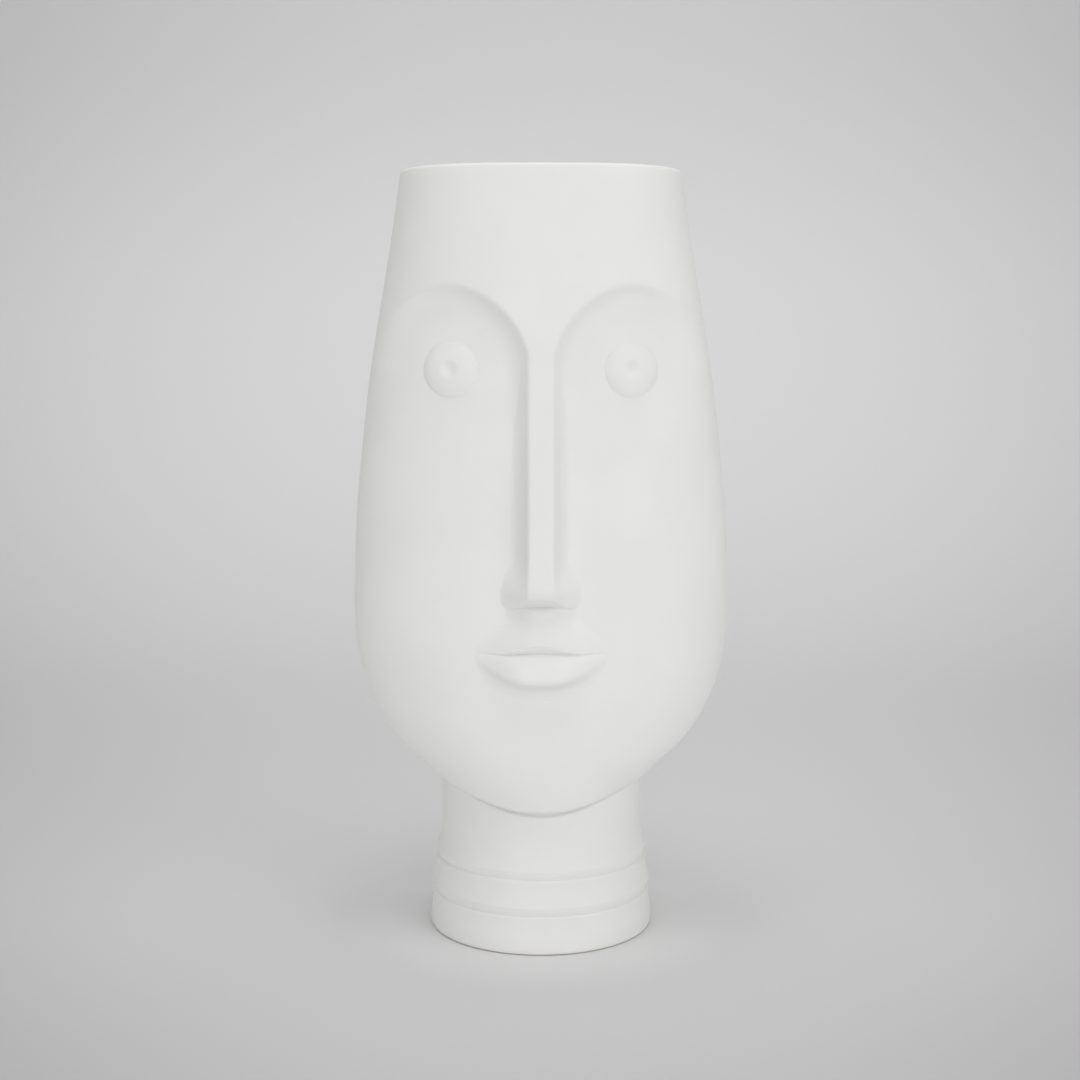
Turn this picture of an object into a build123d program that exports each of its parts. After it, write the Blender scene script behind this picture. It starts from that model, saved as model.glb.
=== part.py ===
from build123d import *
from math import atan2, cos, degrees, pi, sin
import os

# Face vase: a hollow oval head on a round, stepped neck and foot. Lengths are in
# millimetres. The origin is the centre of the standing ring on the table, +Z is up,
# and the face looks towards -Y.

# Heights of the four stacked hollow pieces, from the table up
foot_height = 18
middle_ring_height = 16
neck_height = 34
head_height = 282

# The round foot, ring and neck
foot_lip_radius = 52.3
foot_top_radius = 51.2
middle_lip_radius = 51.4
middle_top_radius = 49.2
neck_lip_radius = 49.5
neck_radius = 46.4
neck_bore_radius = 38
lip_flare_height = 9
lip_face_height = 2.2
lip_round = 1.2
shoulder_round = 0.9
foot_flare_height = 12
floor_thickness = 7
standing_ring_inset = 12
standing_recess = 1.5

# The head vessel, measured from the upright axis through the foot
head_width = 174
face_reach = 56
back_reach = 54
head_wall = 6
rim_round = 2
brow_step = 6.5
section_points = 32

# Level outlines of the head from its seat to its rim: height, half-width, reach of the
# cheeks, reach of the back, as shares of the sizes above, then how square the outline is
# (2 is an ellipse) and how far the forehead stands out of the cheeks
jaw_section_shares = [
    (0.000, 0.534, 0.890, 0.860, 1.75, 0.00),
    (0.030, 0.615, 0.940, 0.895, 1.90, 0.00),
]
# The level where the space under the brows begins, and that of the brows and the eyes
recess_section_shares = (0.291, 1.000, 0.985, 1.000, 2.35, 0.00)
brow_section_shares = (0.691, 0.896, 0.885, 0.940, 2.60, 1.00)
# From here up the inside is one wall smaller than the outside
walled_section_shares = [
    (0.062, 0.716, 0.970, 0.925, 2.05, 0.00),
    (0.103, 0.829, 0.985, 0.955, 2.20, 0.00),
    (0.156, 0.920, 0.995, 0.980, 2.25, 0.00),
    (0.220, 0.982, 1.000, 0.995, 2.30, 0.00),
    recess_section_shares,
    (0.365, 0.997, 0.965, 0.997, 2.40, 0.25),
    (0.468, 0.978, 0.940, 0.985, 2.45, 0.80),
    (0.577, 0.943, 0.915, 0.965, 2.50, 1.00),
    brow_section_shares,
    (0.787, 0.843, 0.860, 0.915, 2.75, 1.00),
    (0.890, 0.785, 0.825, 0.880, 2.95, 1.00),
    (1.000, 0.731, 0.785, 0.840, 3.20, 1.00),
]
head_section_shares = jaw_section_shares + walled_section_shares

# The brows: two round arches, one over each eye
eye_spacing = 79
brow_arch_radius = 31.5

# The eyes: domed discs with a dimple
eye_radius = 12.2
eye_wall_height = 1.4
eye_crown_height = 3.4
eye_root_depth = 8
eye_edge_round = 1
dimple_radius = 4.3
dimple_depth = 1.3

# The nose: a flat-fronted strip that leaves the forehead at the height of the eyes
nose_length = 106
nose_root_reach = 56
nose_tip_reach = 66
nose_tip_depth = 12.5
nose_front_width = 11
nose_root_width = 23.5
nose_tip_width = 27
nose_edge_round = 1.4
nostril_spread = 18
nostril_width = 17.6
nostril_depth = 15
nostril_height = 27
nose_underside_rise = 7.5
nose_underside_run = 8.5

# The mouth: two sprigs that meet on a level line, the upper one close under the nose
nose_to_lip_gap = 0.9
mouth_centre_reach = 51.5
upper_lip_width = 60
upper_lip_height = 17
upper_lip_swell = 8
lower_lip_width = 50
lower_lip_height = 14.5
lower_lip_swell = 9
lip_edge_round = 1.6

# How far every cutting shape runs past what it cuts
overrun = 2
# How far the core that shapes the cheeks runs outside the sides and the jaw
core_overlap = 0.8

middle_ring_base = foot_height
neck_base = middle_ring_base + middle_ring_height
head_base = neck_base + neck_height
vase_height = head_base + head_height
half_head_width = head_width / 2
brow_height = head_base + brow_section_shares[0] * head_height
nose_tip_height = brow_height - nose_length
mouth_height = nose_tip_height - nose_to_lip_gap - upper_lip_height


def level_outline(half_width, front, back, squareness, height):
    """Closed smooth outline at one height: two half superellipses that share their width."""
    points = []
    for step in range(section_points):
        angle = pi / 2 + 2 * pi * step / section_points
        across, along = cos(angle), sin(angle)
        reach = back if along > 0 else front
        across_share = abs(across) ** (2 / squareness) * (1 if across > 0 else -1)
        along_share = abs(along) ** (2 / squareness) * (1 if along > 0 else -1)
        points.append((half_width * across_share, reach * along_share, height))
    return make_face(Spline(*points, periodic=True))


def row_sizes(row):
    """Height, half-width, cheek reach, back reach, squareness and forehead step of one row."""
    height_share, width_share, front_share, back_share, squareness, step_share = row
    return (
        head_base + height_share * head_height,
        width_share * half_head_width,
        front_share * face_reach,
        back_share * back_reach,
        squareness,
        step_share * brow_step,
    )


def head_mass():
    """The head as a solid, with the forehead's level carried down to the cheeks."""
    outlines = []
    for row in head_section_shares:
        height, half_width, front, back, squareness, step = row_sizes(row)
        outlines.append(level_outline(half_width, front + step, back, squareness, height))
    return loft(outlines)


def cheek_core():
    """A solid that holds the cheeks' own level under the brows and lies outside elsewhere."""
    outlines = []
    for row in head_section_shares:
        height, half_width, front, back, squareness, step = row_sizes(row)
        outside = core_overlap * (1 - step / brow_step)
        outlines.append(level_outline(
            half_width + core_overlap, front + outside, back + core_overlap, squareness, height))
    return loft(outlines)


def head_hollow():
    """The inside of the head: the bore of the neck widening to one wall inside the cheeks."""
    outlines = [level_outline(neck_bore_radius, neck_bore_radius, neck_bore_radius, 2, head_base)]
    for row in walled_section_shares:
        height, half_width, front, back, squareness, step = row_sizes(row)
        outlines.append(level_outline(
            half_width - head_wall, front - head_wall, back - head_wall, squareness, height))
    return loft(outlines)


def brow_recess():
    """The space in front of the cheeks: two round arches over one wide block."""
    block_foot = head_base + recess_section_shares[0] * head_height
    reach = face_reach + brow_step + overrun
    block = Pos(0, -reach / 2, (block_foot + brow_height) / 2) * Box(
        head_width + 2 * overrun, reach, brow_height - block_foot)
    recess = block
    for side in (-1, 1):
        arch = Pos(side * eye_spacing / 2, -reach / 2, brow_height) * Rot(90, 0, 0) * Cylinder(
            brow_arch_radius, reach)
        recess = recess + arch
    return recess


def head_shell(solid):
    """The hollow head, open at the top and over the neck, with a rounded rim."""
    shell = solid - head_hollow()
    rim_edges = shell.edges().group_by(Axis.Z)[-1]
    return fillet(rim_edges, rim_round)


def face_point(across, row):
    """Depth of the cheek at a distance across, and how far it turns away there, in degrees."""
    height, half_width, front, back, squareness, step = row_sizes(row)
    share = across / half_width
    depth_share = (1 - share ** squareness) ** (1 / squareness)
    lean = atan2(share ** (squareness - 1) / half_width, depth_share ** (squareness - 1) / front)
    return -front * depth_share, degrees(lean)


def eye(side, cheeks):
    """A domed disc with a dimple, set square on the cheek and cut to its curve."""
    half_profile = make_face([
        Line((0, -eye_root_depth), (eye_radius, -eye_root_depth)),
        Line((eye_radius, -eye_root_depth), (eye_radius, eye_wall_height)),
        Bezier(
            (eye_radius, eye_wall_height),
            (eye_radius / 2, eye_crown_height),
            (0, eye_crown_height)),
        Line((0, eye_crown_height), (0, -eye_root_depth)),
    ])
    disc = revolve(Plane.XZ * half_profile, Axis.Z)
    edge = disc.edges().filter_by(GeomType.CIRCLE).sort_by(Axis.Z)[-1]
    disc = fillet(edge, eye_edge_round)
    ball_radius = (dimple_radius ** 2 + dimple_depth ** 2) / (2 * dimple_depth)
    disc = disc - Pos(0, 0, eye_crown_height - dimple_depth + ball_radius) * Sphere(ball_radius)
    depth, lean = face_point(eye_spacing / 2, brow_section_shares)
    seat = Plane(
        origin=(side * eye_spacing / 2, depth, brow_height),
        x_dir=(0, 0, 1),
        z_dir=(side * sin(lean * pi / 180), -cos(lean * pi / 180), 0))
    return seat * disc - cheeks


def nose_outline(height_share):
    """Level outline of the strip, from its tip (0) to its root (1)."""
    base = nose_tip_width + height_share * (nose_root_width - nose_tip_width)
    reach = nose_tip_reach + height_share * (nose_root_reach - nose_tip_reach)
    side_depth = nose_tip_depth + height_share * (brow_step - nose_tip_depth)
    height = nose_tip_height + height_share * nose_length
    return make_face(Polyline(
        (-base / 2, -reach + side_depth + head_wall, height),
        (-base / 2, -reach + side_depth, height),
        (-nose_front_width / 2, -reach, height),
        (nose_front_width / 2, -reach, height),
        (base / 2, -reach + side_depth, height),
        (base / 2, -reach + side_depth + head_wall, height),
        close=True))


def nose(head):
    """A strip with a flat front and sloped sides, and a round nostril on each side of its tip."""
    strip = loft([nose_outline(0), nose_outline(1)], ruled=True)
    front_edges = strip.edges().filter_by(lambda edge: edge.length > nose_length / 2)
    strip = fillet(front_edges.group_by(Axis.Y)[0], nose_edge_round)
    for side in (-1, 1):
        wing = scale(Sphere(1), by=(nostril_width / 2, nostril_depth / 2, nostril_height / 2))
        strip = strip + Pos(
            side * nostril_spread / 2,
            -nose_tip_reach + nose_tip_depth,
            nose_tip_height + nose_underside_rise / 2) * wing
    underside = make_face(Polyline(
        (-nose_tip_reach - overrun, nose_tip_height - nostril_height),
        (-nose_tip_reach - overrun, nose_tip_height + nose_underside_rise),
        (-nose_tip_reach, nose_tip_height + nose_underside_rise),
        (-nose_tip_reach + nose_underside_run, nose_tip_height),
        (0, nose_tip_height),
        (0, nose_tip_height - nostril_height),
        close=True))
    block = extrude(Plane.YZ * underside, nostril_spread, both=True)
    return strip - block - head


def lip(head, width, height, swell, side):
    """Half of a scaled ball above (1) or below (-1) the mouth line, with a rolled edge."""
    ball = scale(Sphere(1), by=(width / 2, swell, height))
    keep = Pos(0, 0, side * height) * Box(2 * width, 4 * swell, 2 * height)
    half = ball & keep
    edge = half.edges().group_by(Axis.Z)[0 if side > 0 else -1]
    half = fillet(edge, lip_edge_round)
    return Pos(0, -mouth_centre_reach, mouth_height) * half - head


def tier(base, height, top_radius, lip_radius, flare_height, bore_radius):
    """A round hollow tier: straight above, flared below to a lip with a rounded edge."""
    lip_top = base + lip_face_height
    top = base + height
    half_profile = make_face([
        Line((bore_radius, base), (lip_radius - lip_round, base)),
        Bezier((lip_radius - lip_round, base), (lip_radius, base), (lip_radius, base + lip_round)),
        Line((lip_radius, base + lip_round), (lip_radius, lip_top)),
        Bezier((lip_radius, lip_top), (top_radius, lip_top), (top_radius, base + flare_height)),
        Line((top_radius, base + flare_height), (top_radius, top - shoulder_round)),
        Bezier(
            (top_radius, top - shoulder_round),
            (top_radius, top),
            (top_radius - shoulder_round, top)),
        Line((top_radius - shoulder_round, top), (bore_radius, top)),
        Line((bore_radius, top), (bore_radius, base)),
    ])
    return revolve(Plane.XZ * half_profile, Axis.Z)


def foot():
    """The lowest tier, closed by the vase's floor, on a standing ring round a recess."""
    wall = tier(0, foot_height, foot_top_radius, foot_lip_radius, foot_flare_height,
                neck_bore_radius)
    floor_top = standing_recess + floor_thickness
    floor = Pos(0, 0, floor_top / 2) * Cylinder(neck_bore_radius + overrun, floor_top)
    recess_radius = foot_lip_radius - standing_ring_inset
    recess = Pos(0, 0, (standing_recess - overrun) / 2) * Cylinder(
        recess_radius, standing_recess + overrun)
    return wall + floor - recess


cheeks = cheek_core()
head = head_mass() - (brow_recess() - cheeks)
pieces = {
    "head_shell": head_shell(head),
    "nose": nose(head),
    "eye_left": eye(-1, cheeks),
    "eye_right": eye(1, cheeks),
    "upper_lip": lip(head, upper_lip_width, upper_lip_height, upper_lip_swell, 1),
    "lower_lip": lip(head, lower_lip_width, lower_lip_height, lower_lip_swell, -1),
    "neck": tier(neck_base, neck_height, neck_radius, neck_lip_radius, lip_flare_height,
                 neck_bore_radius),
    "middle_ring": tier(middle_ring_base, middle_ring_height, middle_top_radius,
                        middle_lip_radius, lip_flare_height, neck_bore_radius),
    "foot": foot(),
}

os.makedirs("parts", exist_ok=True)
for name, piece in pieces.items():
    export_step(piece, f"parts/{name}.step")
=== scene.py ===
import math

import bpy
import numpy as np
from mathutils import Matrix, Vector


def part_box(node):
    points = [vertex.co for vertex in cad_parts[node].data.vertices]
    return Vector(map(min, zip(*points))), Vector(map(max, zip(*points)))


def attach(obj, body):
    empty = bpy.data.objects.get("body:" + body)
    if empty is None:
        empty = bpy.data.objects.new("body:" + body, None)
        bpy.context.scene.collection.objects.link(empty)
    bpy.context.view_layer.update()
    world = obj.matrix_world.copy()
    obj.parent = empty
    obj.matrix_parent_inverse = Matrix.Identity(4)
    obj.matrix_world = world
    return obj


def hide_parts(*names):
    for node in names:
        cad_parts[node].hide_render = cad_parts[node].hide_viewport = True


# A white face vase in nine glazed pieces, in metres, standing on the origin and looking
# towards -Y. The sections follow it from the table up.
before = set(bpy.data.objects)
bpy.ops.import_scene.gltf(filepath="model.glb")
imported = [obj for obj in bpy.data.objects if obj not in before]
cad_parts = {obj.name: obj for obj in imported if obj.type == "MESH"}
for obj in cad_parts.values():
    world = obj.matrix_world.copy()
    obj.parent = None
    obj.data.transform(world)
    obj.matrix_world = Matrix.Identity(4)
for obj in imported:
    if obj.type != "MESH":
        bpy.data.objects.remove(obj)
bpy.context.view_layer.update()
mm = 0.001


# THE FOOT
# The lowest hollow tier, which closes the vase with its floor. Cast in white clay, sponged
# round at its edges and glazed matt; the ring that it stands on is wiped bare.

foot_floor_top = 8.5 * mm
foot_recess = 1.5 * mm
foot_ring_inset = 12 * mm
foot_edge_round = 1.9 * mm
foot_recess_round = 0.9 * mm
foot_ring_round = 0.6 * mm
foot_taper = 1.1 * mm
foot_band = 5 * mm
foot_band_round = 2.5 * mm
foot_shoulder_band = 5 * mm
foot_shoulder_round = 3 * mm
tier_shoulder_round = 1.9 * mm
bore_radius = 38 * mm
bore_edge_round = 0.5 * mm
floor_round = 5 * mm
bare_height = 0.5 * mm
turned_columns = 192
bend_points = 8
# Where points stand along a straight run between two bends, as shares of its length
run_shares = (0.03, 0.2, 0.4, 0.6, 0.8, 0.97)


def smoothstep(low, high, values):
    """0 below low, 1 above high, and 3t^2 - 2t^3 between them."""
    share = np.clip((values - low) / (high - low), 0, 1)
    return share * share * (3 - 2 * share)


def soften(corners, closed):
    """Outline through corners (radius, height, rounding): each corner becomes the parabola
    that starts and ends its rounding away from it, and the straight runs between corners are
    divided close to their ends, so that they stay flat when shaded smooth."""
    corners = np.array(corners, float)
    places, rounding = corners[:, :2], corners[:, 2:]
    towards_last = np.roll(places, 1, axis=0) - places
    towards_next = np.roll(places, -1, axis=0) - places
    starts = places + rounding * towards_last / np.linalg.norm(towards_last, axis=1)[:, None]
    ends = places + rounding * towards_next / np.linalg.norm(towards_next, axis=1)[:, None]
    t = np.linspace(0, 1, bend_points)[None, :, None]
    bends = (1 - t) ** 2 * starts[:, None] + 2 * t * (1 - t) * places[:, None] + t ** 2 * ends[:, None]
    share = np.array(run_shares)[None, :, None]
    runs = (1 - share) * ends[:, None] + share * np.roll(starts, -1, axis=0)[:, None]
    outline = np.concatenate([bends, runs], axis=1).reshape(-1, 2)
    if closed:
        return outline
    # An open outline starts at its first corner and ends at its last one, with no run back
    return outline[bend_points - 1:-(bend_points - 1 + len(run_shares))]


def turned(outline, columns):
    """Points of a turned form: an outline (radius, height) carried once round the upright axis."""
    turn = np.arange(columns) * 2 * np.pi / columns
    radius, height = outline[:, :1], outline[:, 1:]
    return np.stack([radius * np.cos(turn), radius * np.sin(turn), height + 0 * turn], axis=-1)


def ring_faces(rows, columns, rows_closed):
    """Quads of a grid whose columns close round the axis, and whose rows may close as well."""
    numbers = np.arange(rows * columns).reshape(rows, columns)
    below = numbers if rows_closed else numbers[:-1]
    above = np.roll(numbers, -1, axis=0) if rows_closed else numbers[1:]
    quads = np.stack([below, np.roll(below, -1, axis=1), np.roll(above, -1, axis=1), above], axis=-1)
    return quads.reshape(-1, 4)


def piece_from(name, points, faces):
    """A smooth-shaded object, unturned and unscaled at the origin, from points and faces."""
    mesh = bpy.data.meshes.new(name)
    mesh.from_pydata(points.reshape(-1, 3).tolist(), [], faces)
    mesh.shade_smooth()
    piece = bpy.data.objects.new(name, mesh)
    bpy.context.collection.objects.link(piece)
    return piece


def poled_piece(name, points, first_pole, last_pole):
    """A closed form: a grid of points from one pole to another, with a fan round each pole."""
    rows, columns = points.shape[:2]
    quads = ring_faces(rows, columns, False).tolist()
    here = np.arange(columns)
    after = np.roll(here, -1)
    first, last = rows * columns, rows * columns + 1
    top_row = (rows - 1) * columns
    fans = np.stack([0 * here + first, after, here], axis=1).tolist()
    fans += np.stack([0 * here + last, top_row + here, top_row + after], axis=1).tolist()
    every = np.concatenate([points.reshape(-1, 3), [first_pole, last_pole]])
    return piece_from(name, every, quads + fans)


def math_node(tree, operation, left, right):
    """The output of a Math node on two values or sockets. A root reads the left one alone."""
    node = tree.nodes.new("ShaderNodeMath")
    node.operation = operation
    for socket, value in zip(node.inputs, (left, right)):
        if isinstance(value, (int, float)):
            socket.default_value = value
        else:
            tree.links.new(value, socket)
    return node.outputs[0]


# The glaze's clouds and pits: where each starts and is full on its noise, which runs from 0 to 1
cloud_edges = (0.35, 0.65)
pit_edges = (0.66, 0.74)
pit_color = (0.45, 0.42, 0.38, 1)
swell_to_cloud = 0.6


def glaze_group():
    """Fired glaze on clay: a cloudy change of colour over patches, fine pits and specks in the
    grain, and a roughness and height that follow them. Sizes are in metres, Height in mm."""
    group = bpy.data.node_groups.new("fired_glaze", "ShaderNodeTree")
    sockets = group.interface
    for name, kind, value in (
            ("Color", "NodeSocketColor", (0.8, 0.8, 0.78, 1)),
            ("Cloud Color", "NodeSocketColor", (0.76, 0.76, 0.73, 1)),
            ("Cloud Size", "NodeSocketFloat", 0.03),
            ("Grain Size", "NodeSocketFloat", 0.0006),
            ("Grain Height", "NodeSocketFloat", 0.01),
            ("Swell Height", "NodeSocketFloat", 0.05),
            ("Roughness", "NodeSocketFloat", 0.6),
            ("Roughness Spread", "NodeSocketFloat", 0.06),
            ("Specks", "NodeSocketFloat", 0.1)):
        socket = sockets.new_socket(name=name, in_out="INPUT", socket_type=kind)
        socket.default_value = value
    for name, kind in (("Color", "NodeSocketColor"), ("Roughness", "NodeSocketFloat"),
                       ("Height", "NodeSocketFloat")):
        sockets.new_socket(name=name, in_out="OUTPUT", socket_type=kind)
    nodes, links = group.nodes, group.links
    inputs = nodes.new("NodeGroupInput")
    outputs = nodes.new("NodeGroupOutput")
    place = nodes.new("ShaderNodeTexCoord").outputs["Object"]

    def noise(size, detail):
        """Noise whose lumps are about one size wide."""
        texture = nodes.new("ShaderNodeTexNoise")
        texture.inputs["Detail"].default_value = detail
        links.new(place, texture.inputs["Vector"])
        links.new(math_node(group, "DIVIDE", 1.0, size), texture.inputs["Scale"])
        return texture.outputs["Fac"]

    swell_size = math_node(group, "MULTIPLY", inputs.outputs["Cloud Size"], swell_to_cloud)
    cloud = noise(inputs.outputs["Cloud Size"], detail=3)
    swell = noise(swell_size, detail=1)
    grain = noise(inputs.outputs["Grain Size"], detail=2)
    spread = nodes.new("ShaderNodeMapRange")
    spread.interpolation_type = "SMOOTHSTEP"
    spread.inputs["From Min"].default_value, spread.inputs["From Max"].default_value = cloud_edges
    links.new(cloud, spread.inputs["Value"])
    # A Mix node's two colours are its inputs 6 and 7, and its mixed colour is output 2
    clouded = nodes.new("ShaderNodeMix")
    clouded.data_type = "RGBA"
    links.new(spread.outputs["Result"], clouded.inputs["Factor"])
    links.new(inputs.outputs["Color"], clouded.inputs[6])
    links.new(inputs.outputs["Cloud Color"], clouded.inputs[7])
    pits = nodes.new("ShaderNodeMapRange")
    pits.inputs["From Min"].default_value, pits.inputs["From Max"].default_value = pit_edges
    links.new(grain, pits.inputs["Value"])
    speck = math_node(group, "MULTIPLY", pits.outputs["Result"], inputs.outputs["Specks"])
    specked = nodes.new("ShaderNodeMix")
    specked.data_type = "RGBA"
    specked.blend_type = "MULTIPLY"
    specked.inputs[7].default_value = pit_color
    links.new(speck, specked.inputs["Factor"])
    links.new(clouded.outputs[2], specked.inputs[6])
    links.new(specked.outputs[2], outputs.inputs["Color"])
    above_mean = math_node(group, "SUBTRACT", cloud, 0.5)
    rough_change = math_node(group, "MULTIPLY", above_mean, inputs.outputs["Roughness Spread"])
    links.new(math_node(group, "ADD", inputs.outputs["Roughness"], rough_change),
              outputs.inputs["Roughness"])
    height = math_node(group, "ADD",
                       math_node(group, "MULTIPLY", grain, inputs.outputs["Grain Height"]),
                       math_node(group, "MULTIPLY", swell, inputs.outputs["Swell Height"]))
    links.new(height, outputs.inputs["Height"])
    return group


fired_glaze = glaze_group()


def clay_material(name, specular, **values):
    """A material of fired glaze or clay, with the group's values given by name."""
    material = bpy.data.materials.new(name)
    material.use_nodes = True
    tree = material.node_tree
    shader = tree.nodes["Principled BSDF"]
    shader.inputs["Specular IOR Level"].default_value = specular
    glaze = tree.nodes.new("ShaderNodeGroup")
    glaze.node_tree = fired_glaze
    for key, value in values.items():
        glaze.inputs[key.replace("_", " ").title()].default_value = value
    bump = tree.nodes.new("ShaderNodeBump")
    bump.inputs["Distance"].default_value = mm
    tree.links.new(glaze.outputs["Color"], shader.inputs["Base Color"])
    tree.links.new(glaze.outputs["Roughness"], shader.inputs["Roughness"])
    tree.links.new(glaze.outputs["Height"], bump.inputs["Height"])
    tree.links.new(bump.outputs["Normal"], shader.inputs["Normal"])
    return material


matt_glaze = clay_material(
    "matt_white_glaze", specular=0.35,
    color=(0.800, 0.798, 0.786, 1), cloud_color=(0.784, 0.781, 0.767, 1), cloud_size=0.034,
    grain_size=0.0007, grain_height=0.012, swell_height=0.10, roughness=0.62,
    roughness_spread=0.10, specks=0.05)
bare_clay = clay_material(
    "bare_fired_clay", specular=0.2,
    color=(0.70, 0.66, 0.59, 1), cloud_color=(0.64, 0.60, 0.53, 1), cloud_size=0.012,
    grain_size=0.0005, grain_height=0.05, swell_height=0.05, roughness=0.85,
    roughness_spread=0.08, specks=0.35)


def finish_piece(piece, *nodes):
    """Says that a piece rides on the vase's one body and stands for its CAD nodes."""
    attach(piece, "root")
    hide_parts(*nodes)


foot_low, foot_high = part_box("foot")
foot_lip_radius = foot_high[0]
foot_top_radius = foot_lip_radius - foot_taper
foot_outline = soften([
    (0, foot_recess, 0),
    (foot_lip_radius - foot_ring_inset, foot_recess, foot_recess_round),
    (foot_lip_radius - foot_ring_inset, foot_low[2], foot_ring_round),
    (foot_lip_radius, foot_low[2], foot_edge_round),
    (foot_lip_radius, foot_low[2] + foot_band, foot_band_round),
    (foot_top_radius, foot_high[2] - foot_shoulder_band, foot_shoulder_round),
    (foot_top_radius, foot_high[2], tier_shoulder_round),
    (bore_radius, foot_high[2], bore_edge_round),
    (bore_radius, foot_floor_top, floor_round),
    (0, foot_floor_top, 0),
], closed=False)
foot_points = turned(foot_outline, turned_columns)
foot = poled_piece("foot_tier", foot_points, (0, 0, foot_recess), (0, 0, foot_floor_top))
foot.data.materials.append(matt_glaze)
foot.data.materials.append(bare_clay)
foot_centres = np.empty(len(foot.data.polygons) * 3)
foot.data.polygons.foreach_get("center", foot_centres)
foot_is_bare = foot_centres.reshape(-1, 3)[:, 2] < bare_height
foot.data.polygons.foreach_set("material_index", foot_is_bare.astype(np.int32))
finish_piece(foot, "foot")


# THE MIDDLE RING
# A second hollow tier with its own soft lip, luted on the foot with slip. The joint is left
# as a fine groove under the lip.

ring_low, ring_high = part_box("middle_ring")
ring_lip_radius = ring_high[0]
ring_taper = 1.7 * mm
ring_top_radius = ring_lip_radius - ring_taper
lip_undercut = 0.8 * mm
lip_undercut_height = 2.2 * mm
lip_undercut_round = 0.2 * mm
lip_face = 3.4 * mm
lip_round = 1.1 * mm
crisp_round = 0.3 * mm
slip_depth = 0.35 * mm
flare_top = 9 * mm
flare_round = 5 * mm


def lip_corners(base, lip_radius):
    """Corners (radius, height, rounding) of a tier's lower edge, from its bore out along the
    joint, which is undercut, and up the face of its lip."""
    return [
        (bore_radius, base, crisp_round),
        (lip_radius - lip_undercut, base - slip_depth, lip_undercut_round),
        (lip_radius, base + lip_undercut_height, lip_round),
        (lip_radius, base + lip_face, crisp_round),
    ]


ring_outline = soften([
    *lip_corners(ring_low[2], ring_lip_radius),
    (ring_top_radius, ring_low[2] + flare_top, flare_round),
    (ring_top_radius, ring_high[2], tier_shoulder_round),
    (bore_radius, ring_high[2], crisp_round),
], closed=True)
ring_quads = ring_faces(len(ring_outline), turned_columns, True)
middle_ring = piece_from("middle_ring_tier", turned(ring_outline, turned_columns), ring_quads.tolist())
middle_ring.data.materials.append(matt_glaze)
finish_piece(middle_ring, "middle_ring")


# THE NECK
# The collar under the head, flared to a lip at its lower edge. Its upper end is scored and
# luted inside the jaw, so it runs on a little way into the head's wall.

neck_low, neck_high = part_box("neck")
neck_lip_radius = neck_high[0]
neck_taper = 2.8 * mm
neck_radius = neck_lip_radius - neck_taper
neck_flare_top = 11 * mm
neck_flare_round = 6.5 * mm
neck_tongue = 10 * mm
tongue_outer_inset = 1 * mm
tongue_inner_inset = 2.4 * mm
tongue_bore_gap = 3 * mm
tongue_bore_height = 2 * mm
tongue_bore_drop = 1.5 * mm
tongue_bore_round = 0.5 * mm
seam_depth = 1.5 * mm
seam_height = 1.5 * mm
skin_depth = 0.1 * mm
# Rows of points on the neck where the seam may run
seam_rows = np.arange(60, 76, 2) * mm
# The jaw's lower edge: degrees round from the chin, and its height in millimetres
jaw_edge = np.array([
    (0, 63.9), (12, 64.6), (23, 66.4), (34, 68.8), (45, 71.2), (60, 73.0), (90, 71.0), (180, 69.0)])


def smooth_through(places, values, at):
    """Smooth curves through rows of values: between two places, the cubic that has each row's
    value and its mean slope to its neighbours."""
    slopes = np.gradient(values, places, axis=0)
    row = np.clip(np.searchsorted(places, at, side="right") - 1, 0, len(places) - 2)
    gap = (places[row + 1] - places[row])[..., None]
    t = (at - places[row])[..., None] / gap
    return ((2 * t ** 3 - 3 * t ** 2 + 1) * values[row] + (t ** 3 - 2 * t ** 2 + t) * gap * slopes[row]
            + (3 * t ** 2 - 2 * t ** 3) * values[row + 1] + (t ** 3 - t ** 2) * gap * slopes[row + 1])


def curve_at(table, at):
    """A table's second column, read smoothly at places in its first."""
    return smooth_through(table[:, 0], table[:, 1:], at)[..., 0]


def jaw_height_at(angle):
    """Height of the jaw's lower edge at angles round the axis, where the chin is at -90 degrees."""
    from_chin = np.abs(np.degrees(np.arctan2(np.sin(angle + np.pi / 2), np.cos(angle + np.pi / 2))))
    return curve_at(jaw_edge, from_chin) * mm


neck_outline = soften([
    *lip_corners(neck_low[2], neck_lip_radius),
    (neck_radius, neck_low[2] + neck_flare_top, neck_flare_round),
    *[(neck_radius, height, crisp_round) for height in seam_rows],
    (neck_radius - tongue_outer_inset, neck_high[2] + neck_tongue, crisp_round),
    (neck_radius - tongue_inner_inset, neck_high[2] + neck_tongue, crisp_round),
    (bore_radius + tongue_bore_gap, neck_high[2] + tongue_bore_height, tongue_bore_round),
    (bore_radius, neck_high[2] - tongue_bore_drop, tongue_bore_round),
], closed=True)
neck_points = turned(neck_outline, turned_columns)
# The seam under the jaw is wiped to a small groove that follows the jaw's edge
neck_angles = np.arctan2(neck_points[..., 1], neck_points[..., 0])
below_jaw = (jaw_height_at(neck_angles) - neck_points[..., 2]) / seam_height
from_seam_middle = np.abs(below_jaw - 0.5)
is_outside = np.hypot(neck_points[..., 0], neck_points[..., 1]) > neck_radius - skin_depth
seam = is_outside * seam_depth * (1 - smoothstep(0, 1, from_seam_middle))
neck_points[..., :2] *= (1 - seam / neck_radius)[..., None]
neck_faces = ring_faces(len(neck_outline), turned_columns, True)
neck = piece_from("neck_collar", neck_points, neck_faces.tolist())
neck.data.materials.append(matt_glaze)
finish_piece(neck, "neck")


# THE HEAD
# One tall hollow casting, open at the top. The forehead stands a step in front of the cheeks
# and ends in two arched brows; the wall is one thickness, rounded at the rim and the jaw.

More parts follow.
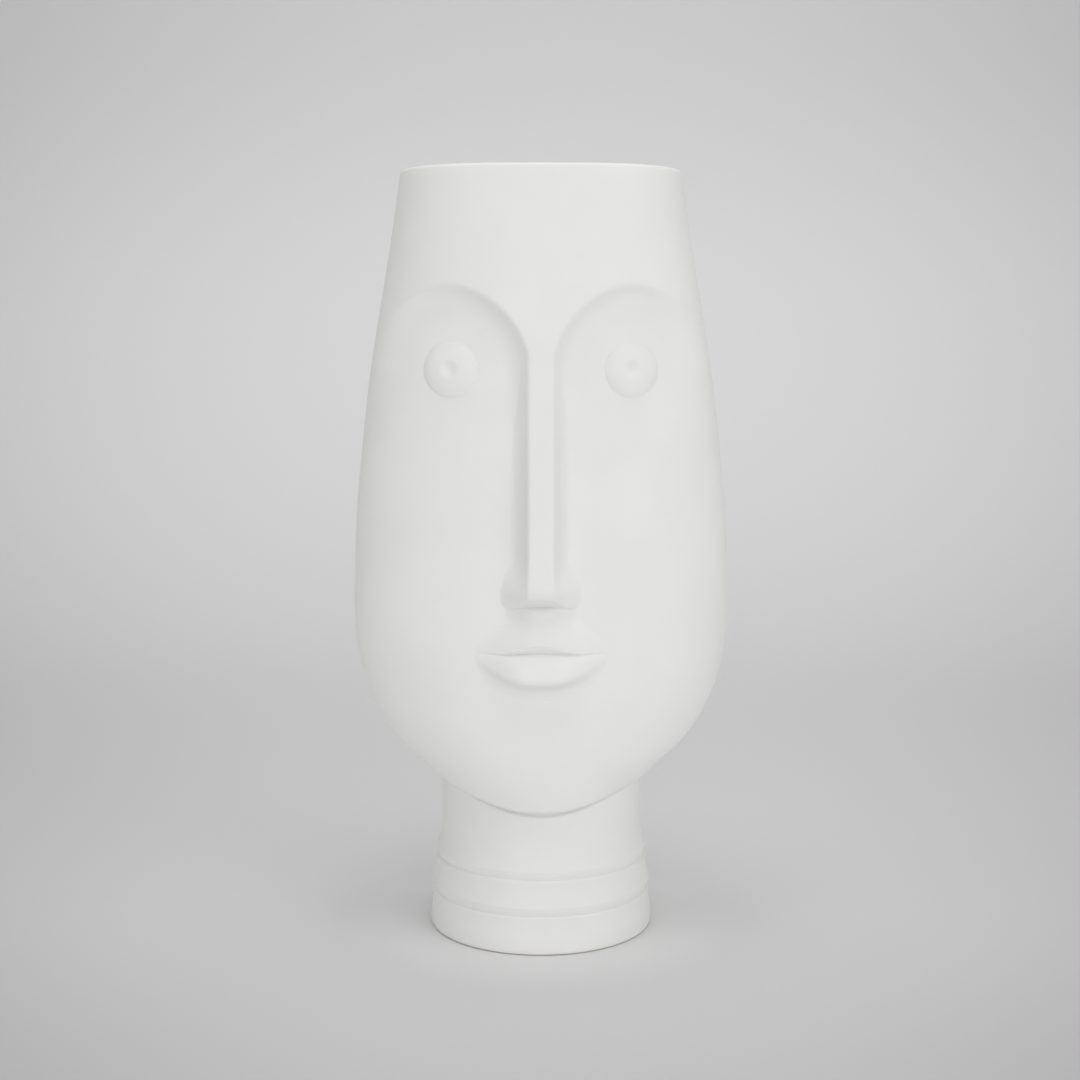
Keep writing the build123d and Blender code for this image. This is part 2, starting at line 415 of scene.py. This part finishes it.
rim_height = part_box("head_shell")[1][2]
jaw_height = jaw_edge[0, 1] * mm
head_wall = 6 * mm
at_inner_skin = 0.99
rim_outer_round = 1.6 * mm
rim_inner_round = 2.0 * mm
jaw_round = 2.6 * mm
jaw_inner_round = 1.2 * mm
brow_step = 6.5 * mm
brow_height = 263.3 * mm
eye_spacing = 79 * mm
# The arches: how far they reach round the eyes, how round they are inside and outside them
# (2 is a circle), and how quickly their outer legs swing out
arch_radius = 34.5 * mm
inner_arch_power = 1.75
outer_arch_power = 2
arch_leg_bend = 6.0
arch_leg_power = 1.5
# The brows' wall: how far it runs down to the cheek, and how much longer it grows outwards
brow_wall_run = 13 * mm
brow_wall_power = 3
brow_run_growth = 0.6
brow_growth_ends = (4 * mm, 32 * mm)
wall_edge_soft = 0.45 * mm
# The strip between the brows fades into the nose between these heights
strip_ends = (212 * mm, 262 * mm)
# The jaw's edge lifts the rows above it less and less between these heights
jaw_fade = (70 * mm, 112 * mm)

# Level outlines from the jaw to the rim: height, half-width, reach of the cheeks and reach of
# the back in millimetres, then how square the outline is (2 is an ellipse)
head_levels = np.array([
    (60.0, 47.2, 49.8, 45.2, 2.05),
    (66.0, 47.4, 51.0, 45.8, 2.05),
    (71.0, 48.0, 52.0, 46.6, 2.08),
    (75.2, 51.0, 52.9, 47.6, 2.12),
    (82.5, 58.6, 54.0, 49.2, 2.16),
    (89.7, 66.4, 54.8, 50.5, 2.20),
    (97.0, 72.1, 55.3, 51.6, 2.24),
    (112.0, 80.0, 55.8, 52.9, 2.28),
    (130.0, 85.3, 56.0, 53.6, 2.30),
    (150.0, 86.9, 55.2, 53.9, 2.35),
    (171.0, 86.6, 54.0, 53.8, 2.40),
    (200.0, 85.1, 52.6, 53.2, 2.45),
    (230.7, 82.0, 51.2, 52.1, 2.50),
    (262.9, 77.9, 49.6, 50.8, 2.52),
    (290.0, 73.3, 48.2, 49.4, 2.56),
    (319.0, 68.3, 46.2, 47.5, 2.63),
    (350.0, 63.6, 44.0, 45.4, 2.76),
])
# The same for the inside where it widens from the bore: height, half-width, front, back
seat_levels = np.array([
    (64.3, 38.3, 38.3, 38.3),
    (67.5, 38.3, 38.3, 38.3),
    (74.0, 42.8, 41.6, 40.4),
    (85.5, 56.3, 48.3, 43.9),
])
seat_top = seat_levels[-1, 0]

inner_glaze = clay_material(
    "inner_white_glaze", specular=0.5,
    color=(0.800, 0.797, 0.770, 1), cloud_color=(0.770, 0.766, 0.732, 1), cloud_size=0.025,
    grain_size=0.0009, grain_height=0.006, swell_height=0.16, roughness=0.30,
    roughness_spread=0.12, specks=0.03)


def level_at(height):
    """Half-width, cheek reach, back reach and squareness of the head at heights in metres."""
    level = smooth_through(head_levels[:, 0], head_levels[:, 1:], height / mm)
    return level[..., 0] * mm, level[..., 1] * mm, level[..., 2] * mm, level[..., 3]


def cheek_reach(across, height):
    """How far the cheek stands in front of the axis: on a superellipse, where its share of the
    front's reach and the share of the half-width, each to the power of the squareness, add up
    to 1."""
    half_width, front, back, square = level_at(height)
    share = np.clip(np.abs(across) / half_width, 0, 1)
    return front * (1 - share ** square) ** (1 / square)


def wall_fall(distance, run, power):
    """0 on top of a soft wall and 1 at its foot: 1 less a power of 1 less the share of its run,
    counted from an edge that is softened by the logarithm of 1 plus an exponential."""
    soft = wall_edge_soft * np.logaddexp(0, distance / wall_edge_soft)
    return 1 - (1 - np.clip(soft / run, 0, 1)) ** power


def forehead_share(across, height):
    """1 on the forehead and the strip between the brows, 0 on the cheeks: the distance inside
    two round arches, a little leaner on their inner halves, whose inner legs fall straight and
    whose outer legs swing out to the side."""
    across = np.abs(across)
    arch_across = across - eye_spacing / 2
    below = np.clip(brow_height - height, 0, None)
    above = np.clip(height - brow_height, 0, None)
    power = np.where(arch_across < 0, inner_arch_power, outer_arch_power)
    round_arch = arch_radius - (np.abs(arch_across) ** power + above ** power) ** (1 / power)
    outer_leg = arch_radius + arch_leg_bend * below ** arch_leg_power - arch_across
    inner_leg = arch_radius + arch_across
    inside = np.where(height >= brow_height, round_arch, np.minimum(inner_leg, outer_leg))
    run = brow_wall_run * (1 + brow_run_growth * smoothstep(*brow_growth_ends, arch_across))
    share = 1 - wall_fall(inside, run, brow_wall_power)
    return np.where(arch_across < 0, share * smoothstep(*strip_ends, height), share)


def level_ring(angle, half_width, front, back, square):
    """Places round one level: x over the half-width and y over the depth, each to the power of
    the squareness, add up to 1, with one depth in front and another behind."""
    across, along = np.cos(angle), np.sin(angle)
    depth = np.where(along < 0, front, back)
    radius = (np.abs(across / half_width) ** square + np.abs(along / depth) ** square) ** (-1 / square)
    return radius * across, radius * along


def head_outside(angle, height):
    """Places on the outer skin: a superellipse in each level, its front half carried forward by
    the forehead's step."""
    half_width, front, back, square = level_at(height)
    x, y = level_ring(angle, half_width, front, back, square)
    step = np.where(y < 0, brow_step * forehead_share(x, height) / front, 0)
    return x, y * (1 + step)


def head_inside(angle, height):
    """Places on the inner skin: one wall inside the cheeks' level, and under the seat's top an
    ellipse that narrows to the bore."""
    half_width, front, back, square = level_at(height)
    seat_height = np.clip(height / mm, None, seat_top)
    seat = smooth_through(seat_levels[:, 0], seat_levels[:, 1:], seat_height) * mm
    in_seat = height < seat_top * mm
    half_width = np.where(in_seat, seat[..., 0], half_width - head_wall)
    front = np.where(in_seat, seat[..., 1], front - head_wall)
    back = np.where(in_seat, seat[..., 2], back - head_wall)
    square = np.where(in_seat, 2, square)
    return level_ring(angle, half_width, front, back, square)


# How closely the head's points stand: fine over the face and the brows, coarse elsewhere
face_column_step, back_column_step = 0.66 * mm, 5 * mm
brow_row_step, plain_row_step = 0.64 * mm, 3.4 * mm
brow_rows_low, brow_rows_high = 242 * mm, 301 * mm
step_spread = 30 * mm
inner_row_count = 52
face_margin = 0.03 * np.pi
spacing_samples = 4000
round_samples = 6001


def spaced(low, high, fine_low, fine_high, fine, coarse, spread):
    """Places from low to high: a fine step between the fine ends, growing to a coarse one
    over the spread outside them."""
    line = np.linspace(low, high, spacing_samples)
    away = np.maximum(fine_low - line, line - fine_high)
    step = fine + (coarse - fine) * smoothstep(0, spread, away)
    count = np.concatenate([[0], np.cumsum(np.diff(line) / step[1:])])
    return np.interp(np.linspace(0, count[-1], int(count[-1]) + 1), count, line)


# Columns follow the length round the level of the brows: fine over the face, coarse behind
round_angle = np.linspace(-np.pi, np.pi, round_samples)
round_x, round_y = head_outside(round_angle, np.full(round_samples, brow_height))
round_length = np.concatenate([[0], np.cumsum(np.hypot(np.diff(round_x), np.diff(round_y)))])
face_ends = np.interp([face_margin - np.pi, -face_margin], round_angle, round_length)
head_columns = spaced(0, round_length[-1], *face_ends,
                      face_column_step, back_column_step, step_spread)
head_angles = np.interp(head_columns[:-1], round_length, round_angle)

# Rows run up the outside, over the rim, down the inside and under the jaw: inset and height
outer_rows = spaced(jaw_height + jaw_round, rim_height - rim_outer_round,
                    brow_rows_low, brow_rows_high, brow_row_step, plain_row_step, step_spread)
inner_rows = np.linspace(rim_height - rim_inner_round, jaw_height + jaw_inner_round, inner_row_count)
bend = np.linspace(0, 1, bend_points)


def corner_rows(corner_inset, corner_height, first, second):
    """Rows round a corner: the parabola between two offsets (inset, height) from the corner."""
    inset = corner_inset + (1 - bend) ** 2 * first[0] + bend ** 2 * second[0]
    height = corner_height + (1 - bend) ** 2 * first[1] + bend ** 2 * second[1]
    return np.stack([inset, height], axis=1)


head_rows = np.concatenate([
    corner_rows(0, jaw_height, (jaw_round, 0), (0, jaw_round)),
    np.stack([0 * outer_rows, outer_rows], axis=1)[1:-1],
    corner_rows(0, rim_height, (0, -rim_outer_round), (rim_outer_round, 0)),
    corner_rows(head_wall, rim_height, (-rim_inner_round, 0), (0, -rim_inner_round)),
    np.stack([0 * inner_rows + head_wall, inner_rows], axis=1)[1:-1],
    corner_rows(head_wall, jaw_height, (0, jaw_inner_round), (-jaw_inner_round, 0)),
])
inset, row_level = head_rows[:, :1], head_rows[:, 1:]
inward = inset / head_wall
jaw_lift = jaw_height_at(head_angles) - jaw_height
row_height = row_level + jaw_lift * (1 - inward) * (1 - smoothstep(*jaw_fade, row_level))
outside_x, outside_y = head_outside(head_angles[None, :], row_height)
inside_x, inside_y = head_inside(head_angles[None, :], row_height)
head_points = np.stack([
    outside_x + (inside_x - outside_x) * inward,
    outside_y + (inside_y - outside_y) * inward,
    row_height], axis=-1)
head_quads = ring_faces(len(head_rows), len(head_angles), True)
head = piece_from("head_casting", head_points, head_quads.tolist())
head.data.materials.append(matt_glaze)
head.data.materials.append(inner_glaze)
# The inner skin under the rim's rounding has the glossier glaze
row_is_inner = (inward[:, 0] > at_inner_skin) & (row_level[:, 0] < rim_height - rim_inner_round)
face_is_inner = np.repeat(row_is_inner, len(head_angles))
head.data.polygons.foreach_set("material_index", face_is_inner.astype(np.int32))
finish_piece(head, "head_shell")


# THE NOSE
# A long strip of clay with a flat front and soft sloped sides, rolled out into a nostril on
# each side of its tip. It is luted on below the forehead and smoothed into it.

nose_reach = -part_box("nose")[0][1]
nose_root_height = 263 * mm
nose_front = 5.6 * mm
nose_side_run = 7.8 * mm
nose_wall_power = 2
# Down the front: where the straight run ends, how far it curls in, and how steeply the
# underside is cut back below its edge, and again below its foot
nose_tip_height = 167 * mm
nose_tip_curl = 0.8 * mm
nose_curl_limit = 3
nose_edge_height = 162.8 * mm
nose_edge_soft = 0.6 * mm
nose_under_slope = 1.6
nose_foot_height = 157.9 * mm
nose_foot_slope = 3
# The nostrils: how wide their walls run, between which heights they widen, and their ends
nostril_run = 12.4 * mm
nostril_wall_power = 1.1
nostril_top = 181 * mm
nostril_height = 164 * mm
nostril_low = 7.6 * mm
nostril_end_power = 4
nostril_end_least = 0.01
# The patch that the nose is made on. Its border dips just under the head's skin.
nose_bottom, nose_top = 154.5 * mm, 276 * mm
nose_half_patch = 21 * mm
nose_step = 0.4 * mm
nose_dip = 0.18 * mm
nose_dip_sides = (13 * mm, 20 * mm)
nose_dip_top = (256 * mm, 274 * mm)
luted_depth = 3 * mm


def soft_min(left, right, soft):
    """The smaller of two heights, rounded where they meet: half of their sum less the root of
    their squared difference plus the squared soft width."""
    return (left + right - np.sqrt((left - right) ** 2 + soft ** 2)) / 2


def grid_faces(rows, columns):
    """Quads of an open grid of points, numbered along its rows."""
    numbers = np.arange(rows * columns).reshape(rows, columns)
    quads = np.stack([numbers[:-1, :-1], numbers[:-1, 1:], numbers[1:, 1:], numbers[1:, :-1]], axis=-1)
    return quads.reshape(-1, 4)


def luted_piece(name, across, height, over):
    """A closed shell luted on the cheeks, on a grid of places whose rows go up: its front stands
    out of the cheek by the amount over it, its back lies one depth inside the wall, and a border
    joins the two."""
    cheek = cheek_reach(across, height)
    front = np.stack([across, -(cheek + over), height], axis=-1)
    back = np.stack([across, luted_depth - cheek, height], axis=-1)
    numbers = np.arange(across.size).reshape(across.shape)
    quads = grid_faces(*across.shape)
    edge = np.concatenate([numbers[0, :-1], numbers[:-1, -1], numbers[-1, :0:-1], numbers[:0:-1, 0]])
    after = np.roll(edge, -1)
    behind = across.size
    border = np.stack([after, edge, edge + behind, after + behind], axis=1)
    faces = np.concatenate([quads, quads[:, ::-1] + behind, border])
    points = np.concatenate([front.reshape(-1, 3), back.reshape(-1, 3)])
    piece = piece_from(name, points, faces.tolist())
    piece.data.materials.append(matt_glaze)
    return piece


def nose_height_over(across, height):
    """How far the nose stands out of the cheek: a strip that reaches out in a straight line
    down to its tip and curls in there, whose soft sides widen to rounded nostrils, all cut back
    under the tip."""
    level_front = level_at(height)[1]
    root_reach = level_at(np.array([nose_root_height]))[1][0] + brow_step
    down = (nose_root_height - height) / (nose_root_height - nose_tip_height)
    line = root_reach + (nose_reach - root_reach) * np.clip(down, 0, 1)
    below_tip = (nose_tip_height - height) / (nose_tip_height - nose_edge_height)
    curl = nose_tip_curl * np.clip(below_tip, 0, nose_curl_limit) ** 2
    front = np.where(height > nose_root_height, level_front + brow_step, line - curl)
    widening = smoothstep(nostril_top, nostril_height, height)
    below_nostril = np.clip(nostril_height - height, 0, None) / nostril_low
    closing = np.sqrt(np.clip(1 - below_nostril ** nostril_end_power, nostril_end_least, 1))
    run = nose_side_run + (nostril_run - nose_side_run) * widening
    beside = np.abs(across) - nose_front
    soft_wall = 1 - wall_fall(beside, run, nose_wall_power)
    round_wall = (1 - np.clip(beside / (run * closing), 0, 1)) ** nostril_wall_power
    rise = (front - level_front) * (soft_wall + (round_wall - soft_wall) * widening)
    under = (nose_reach - nose_tip_curl - nose_under_slope * (nose_edge_height - height)
             - nose_foot_slope * np.clip(nose_foot_height - height, 0, None))
    return soft_min(rise, under - cheek_reach(across, height), nose_edge_soft)


nose_x = np.linspace(-nose_half_patch, nose_half_patch, int(2 * nose_half_patch / nose_step) + 1)
nose_z = np.linspace(nose_bottom, nose_top, int((nose_top - nose_bottom) / nose_step) + 1)
nose_x, nose_z = np.meshgrid(nose_x, nose_z)
nose_sink = nose_dip * (smoothstep(*nose_dip_sides, np.abs(nose_x)) + smoothstep(*nose_dip_top, nose_z))
nose = luted_piece("nose_strip", nose_x, nose_z, nose_height_over(nose_x, nose_z) - nose_sink)
finish_piece(nose, "nose")


# THE EYES
# Two pressed discs with a soft edge, a domed face and a thumbed dimple, luted square on the
# cheeks under the arches.

eye_height = 261.8 * mm
eye_radius = 12.2 * mm
eye_crown = 2.3 * mm
eye_flatness = 3.4
eye_edge_power = 0.85
dimple_radius = 4.6 * mm
dimple_depth = 1.15 * mm
# Round the disc, slip fills the corner with the cheek; under it, a root sits in the wall
eye_fillet = 0.8 * mm
eye_fillet_height = 0.3 * mm
eye_skirt_depth = 1 * mm
eye_root = 4 * mm
eye_root_radius = 2 * mm
eye_columns = 120
eye_face_rows = 44
eye_fillet_rows = 6


def eye_rise(radius):
    """Height of the disc above the cheek: a dome, the crown times 1 less a power of the share of
    the radius, with a smooth dimple in the middle."""
    dome = eye_crown * np.clip(1 - (radius / eye_radius) ** eye_flatness, 0, 1) ** eye_edge_power
    return dome - dimple_depth * (1 - smoothstep(0, dimple_radius, radius))


face_radius = eye_radius * np.sin(np.linspace(np.pi / 2, 0, eye_face_rows))[:-1]
skirt = np.linspace(1, 0, eye_fillet_rows)[:-1]
fillet_height = eye_fillet_height * (1 - skirt) ** 2 - eye_fillet_height
eye_outline = np.concatenate([
    [(eye_root_radius, -eye_root), (eye_radius, -eye_root),
     (eye_radius + eye_fillet, -eye_skirt_depth)],
    np.stack([eye_radius + eye_fillet * skirt ** 2, fillet_height], axis=1),
    np.stack([face_radius, eye_rise(face_radius)], axis=1)])


def on_cheek(across, up, rise, centre, lean):
    """Points laid on the cheek: a place in the disc's own plane, carried back to the cheek, and
    then out of it by the rise along the way that the disc faces."""
    x, z = centre[0] + across * math.cos(lean), centre[1] + up
    y = -cheek_reach(x, z)
    return np.stack([x + rise * math.sin(lean), y - rise * math.cos(lean), z], axis=-1)


eye_flat = turned(eye_outline, eye_columns)
for side, side_name in ((-1, "left"), (1, "right")):
    eye_across = side * eye_spacing / 2
    eye_centre = (eye_across, eye_height)
    # The disc faces square out of the cheek, whose lean is taken over 1 mm on each side
    nearby = np.array([eye_across - mm, eye_across + mm])
    reach_nearby = cheek_reach(nearby, np.full(2, eye_height))
    eye_lean = math.atan2(reach_nearby[0] - reach_nearby[1], 2 * mm)
    eye_points = on_cheek(eye_flat[..., 0], eye_flat[..., 1], eye_flat[..., 2], eye_centre, eye_lean)
    eye_poles = on_cheek(np.zeros(2), np.zeros(2), np.array([-eye_root, eye_rise(0.0)]),
                         eye_centre, eye_lean)
    eye = poled_piece(f"eye_disc_{side_name}", eye_points, *eye_poles)
    eye.data.materials.append(matt_glaze)
    finish_piece(eye, f"eye_{side_name}")


# THE LIPS
# Two sprigs pressed in small moulds and luted on, one over the other. The upper one spreads
# from under the nose to the corners of the mouth; the lower one is a full rounded ridge.

mouth_height = 137.7 * mm
upper_half_width = 36 * mm
upper_overlap = 1.2 * mm
lip_step = 0.35 * mm
upper_row_step = 0.2 * mm
lip_dip = 0.2 * mm
# The upper lip by height: how far it spreads to each side, and how far it stands out, in mm
upper_spread = np.array([
    (136.0, 33.0), (140.6, 32.6), (143.0, 31.2), (146.7, 28.0), (150.3, 23.4), (153.4, 19.4),
    (157.6, 17.8), (161.0, 17.6)])
upper_swell = np.array([
    (136.0, 7.6), (140.0, 7.6), (142.0, 7.6), (144.5, 7.5), (147.0, 7.1), (150.0, 6.5),
    (153.0, 6.0), (156.0, 5.8), (157.3, 5.4), (158.2, 4.6), (158.9, 3.4), (159.8, 0.5)])
upper_top = upper_swell[-1, 0] * mm
upper_bump_ends = (0.10, 0.95)
# Its lower edge: its height at the corners, how far it arches up in the middle and over what
# width, and how it rolls back under itself
upper_edge_height = 138.7 * mm
upper_arch = 4.2 * mm
upper_arch_run = 19 * mm
upper_undercut = 0.8 * mm
upper_roll = 0.6
upper_roll_power = 1.4


def upper_over(across, height):
    """How far the upper lip stands out of the cheek: it swells towards its lower edge, spreads
    sideways in a soft bump, and rolls back under an edge that is arched up in the middle."""
    across = np.abs(across)
    spread = curve_at(upper_spread, height / mm) * mm
    swell = curve_at(upper_swell, height / mm) * mm
    bump = 1 - smoothstep(*upper_bump_ends, across / spread)
    edge = upper_edge_height + upper_arch * (1 - smoothstep(0, upper_arch_run, across))
    under = np.clip(edge - height, 0, None) / (edge - mouth_height + upper_undercut)
    return swell * bump * (1 - upper_roll * under ** upper_roll_power)


upper_columns = int(2 * upper_half_width / lip_step) + 1
upper_rows = int((upper_top - mouth_height) / upper_row_step) + 1
upper_x, upper_z = np.meshgrid(
    np.linspace(-upper_half_width, upper_half_width, upper_columns),
    np.linspace(mouth_height - upper_overlap, upper_top, upper_rows))
upper_lip = luted_piece("upper_lip_sprig", upper_x, upper_z, upper_over(upper_x, upper_z) - lip_dip)
finish_piece(upper_lip, "upper_lip")

lower_half_width = 31 * mm
lower_swell = 9.5 * mm
lower_fall = 9.8 * mm
lower_taper_start = 0.22
lower_rows = 110
# The line of the mouth rises in its middle. The ridge under it lifts towards the corners.
mouth_rise = 0.9 * mm
mouth_rise_ends = (2 * mm, 15 * mm)
ridge_height = 126.6 * mm
ridge_rise = 11.4 * mm
ridge_power = 2.3
# Down the lower lip: share of the way to its ridge and on below it, and share of its swell
lower_profile = np.array([
    (-0.12, 0.34), (0, 0.62), (0.06, 0.69), (0.30, 0.84), (0.60, 0.94), (0.80, 0.985), (0.93, 1.0),
    (1.04, 0.97), (1.13, 0.88), (1.25, 0.65), (1.38, 0.40), (1.52, 0.23), (1.70, 0.11), (1.95, 0.02),
    (2.10, -0.03)])

lower_columns = int(2 * lower_half_width / lip_step) + 1
lower_x, down = np.meshgrid(
    np.linspace(-lower_half_width, lower_half_width, lower_columns),
    np.linspace(lower_profile[-1, 0], lower_profile[0, 0], lower_rows))
ridge = ridge_height + ridge_rise * (np.abs(lower_x) / lower_half_width) ** ridge_power
mouth_line = mouth_height + mouth_rise * (1 - smoothstep(*mouth_rise_ends, np.abs(lower_x)))
lower_z = np.where(down < 1, mouth_line + (ridge - mouth_line) * down, ridge - (down - 1) * lower_fall)
lower_share = curve_at(lower_profile, down)
lower_taper = 1 - smoothstep(lower_taper_start, 1, np.abs(lower_x) / lower_half_width)
lower_over = lower_swell * lower_share * lower_taper
lower_lip = luted_piece("lower_lip_sprig", lower_x, lower_z, lower_over - lip_dip)
finish_piece(lower_lip, "lower_lip")


# THE CAMERA
# The photograph's place and angle: level with the eyes, about 0.77 m in front of the vase's
# axis, and tilted a little down.

camera_place = (-0.0004, -0.7697, 0.26693)
# How far it is tilted down, in radians, and its film and lens, in millimetres
camera_tilt = 0.1098
camera_film = 36
camera_lens = 55.17
camera_far = 50

camera_data = bpy.data.cameras.new("camera")
camera_data.sensor_width = camera_film
camera_data.lens = camera_lens
camera_data.clip_end = camera_far
camera = bpy.data.objects.new("camera", camera_data)
camera.location = camera_place
camera.rotation_euler = (math.pi / 2 - camera_tilt, 0, 0)
bpy.context.collection.objects.link(camera)
bpy.context.scene.camera = camera


# THE LIGHT
# A pale even room with three broad soft lamps: one overhead, one low in front, and a weaker
# one a little higher at the front right, which gives the soft shadow on the left.

room_color = (1.0, 1.0, 1.0, 1)
room_strength = 0.5
lamp_size = 1.4
lamp_distance = 2.2
lamp_target = np.array([0, 0, 0.18])
# Each lamp's name, degrees to the right of the front, degrees above the level, and watts
lamps = (
    ("overhead_softbox", 0, 85, 19),
    ("front_softbox", 0, 5, 12.5),
    ("side_softbox", 40, 24, 6.5),
)

world = bpy.data.worlds.new("pale_room")
world.use_nodes = True
world.node_tree.nodes["Background"].inputs["Color"].default_value = room_color
world.node_tree.nodes["Background"].inputs["Strength"].default_value = room_strength
bpy.context.scene.world = world
for lamp_name, lamp_turn, lamp_rise, lamp_watts in lamps:
    lamp_data = bpy.data.lights.new(lamp_name, "AREA")
    lamp_data.size = lamp_size
    lamp_data.energy = lamp_watts
    lamp = bpy.data.objects.new(lamp_name, lamp_data)
    turn, rise = math.radians(lamp_turn), math.radians(lamp_rise)
    towards = np.array([math.cos(rise) * math.sin(turn), -math.cos(rise) * math.cos(turn), math.sin(rise)])
    lamp.location = lamp_target + lamp_distance * towards
    lamp.rotation_euler = (math.pi / 2 - rise, 0, turn)
    bpy.context.collection.objects.link(lamp)


# THE FLOOR AND BACKDROP
# One seamless sheet of pale matt paper, which lies under the vase and curves up behind it.
# The camera sees it in a darker grey than it throws back on the vase.

# The sheet's ends and the bend between them, in metres
sweep_front, sweep_back, sweep_top = -1.6, 1.5, 2.6
sweep_radius = 0.9
sweep_half_width = 3.2
sweep_bend_rows = 32
sweep_columns = 9
paper_bounce = (0.82, 0.82, 0.82, 1)
paper_grey = 0.643
paper_roughness = 0.9
paper_specular = 0.1
# To the sides, painted shade: the fan's tip on the Y axis, how quickly it darkens the paper, and its least
# share of grey
fan_tip = -0.77
fan_painted_shade = 1.3
fan_least = 0.8
# The other painted light and shade: where each starts and ends, in metres, and what it
# multiplies the grey by at its start and at its end
front_painted_shade = (-0.24, 0.02, 0.86, 1.0)
back_painted_light = (0.35, 1.25, 1.0, 1.2)
upward_painted_shade = (0.28, 0.78, 1.0, 0.86)
foot_painted_light = (0.046, 0.100, 1.2, 1.0)

quarter = np.linspace(0, np.pi / 2, sweep_bend_rows)
sweep_y = np.concatenate([
    [sweep_front], sweep_back - sweep_radius + sweep_radius * np.sin(quarter), [sweep_back]])
sweep_z = np.concatenate([[0], sweep_radius - sweep_radius * np.cos(quarter), [sweep_top]])
sweep_x = np.linspace(-sweep_half_width, sweep_half_width, sweep_columns)
sweep_points = np.stack(np.broadcast_arrays(
    sweep_x[None, :], sweep_y[:, None], sweep_z[:, None]), axis=-1)
sweep_faces = grid_faces(len(sweep_y), sweep_columns)
backdrop = piece_from("paper_backdrop", sweep_points, sweep_faces.tolist())
paper = bpy.data.materials.new("pale_grey_paper")
paper.use_nodes = True
paper_tree = paper.node_tree
paper_shader = paper_tree.nodes["Principled BSDF"]
paper_shader.inputs["Roughness"].default_value = paper_roughness
paper_shader.inputs["Specular IOR Level"].default_value = paper_specular
paper_coordinates = paper_tree.nodes.new("ShaderNodeTexCoord")
paper_place = paper_tree.nodes.new("ShaderNodeSeparateXYZ")
paper_tree.links.new(paper_coordinates.outputs["Object"], paper_place.inputs[0])
paper_x, paper_y, paper_z = paper_place.outputs


def eased(value, low, high, first, last):
    """A smooth change from first to last while a value goes from low to high."""
    node = paper_tree.nodes.new("ShaderNodeMapRange")
    node.interpolation_type = "SMOOTHSTEP"
    for key, number in (("From Min", low), ("From Max", high), ("To Min", first), ("To Max", last)):
        node.inputs[key].default_value = number
    paper_tree.links.new(value, node.inputs["Value"])
    return node.outputs["Result"]


# Painted light and shade on the paper as the camera sees it: painted palest behind the face and
# close round the foot, and painted shade darkens it high up the backdrop, towards the front,
# and to both sides in a fan that opens backwards.
from_fan_tip = math_node(paper_tree, "SUBTRACT", paper_y, fan_tip)
fan_share = math_node(paper_tree, "DIVIDE", paper_x, from_fan_tip)
fan_square = math_node(paper_tree, "MULTIPLY", fan_share, fan_share)
fan_fall = math_node(paper_tree, "MULTIPLY", fan_square, fan_painted_shade)
fan_shade = math_node(paper_tree, "SUBTRACT", 1.0, fan_fall)
painted_shade_to_sides = math_node(paper_tree, "MAXIMUM", fan_shade, fan_least)
painted_shade_to_front = eased(paper_y, *front_painted_shade)
painted_light_to_back = eased(paper_y, *back_painted_light)
painted_shade_upwards = eased(paper_z, *upward_painted_shade)
# Painted light round the foot, which takes out the shadow that the vase casts on the paper there
foot_square = math_node(paper_tree, "ADD", math_node(paper_tree, "MULTIPLY", paper_x, paper_x),
                        math_node(paper_tree, "MULTIPLY", paper_y, paper_y))
foot_distance = math_node(paper_tree, "SQRT", foot_square, 0.0)
painted_light_at_foot = eased(foot_distance, *foot_painted_light)
paper_shade = paper_grey
for change in (painted_shade_to_sides, painted_shade_to_front, painted_light_to_back, painted_shade_upwards, painted_light_at_foot):
    paper_shade = math_node(paper_tree, "MULTIPLY", change, paper_shade)
seen_paper = paper_tree.nodes.new("ShaderNodeCombineColor")
for socket in seen_paper.inputs[:3]:
    paper_tree.links.new(paper_shade, socket)
seen_or_lit = paper_tree.nodes.new("ShaderNodeMix")
seen_or_lit.data_type = "RGBA"
seen_or_lit.inputs[6].default_value = paper_bounce
paper_tree.links.new(seen_paper.outputs["Color"], seen_or_lit.inputs[7])
light_path = paper_tree.nodes.new("ShaderNodeLightPath")
paper_tree.links.new(light_path.outputs["Is Camera Ray"], seen_or_lit.inputs["Factor"])
paper_tree.links.new(seen_or_lit.outputs[2], paper_shader.inputs["Base Color"])
backdrop.data.materials.append(paper)

bpy.context.scene.view_settings.view_transform = "Standard"
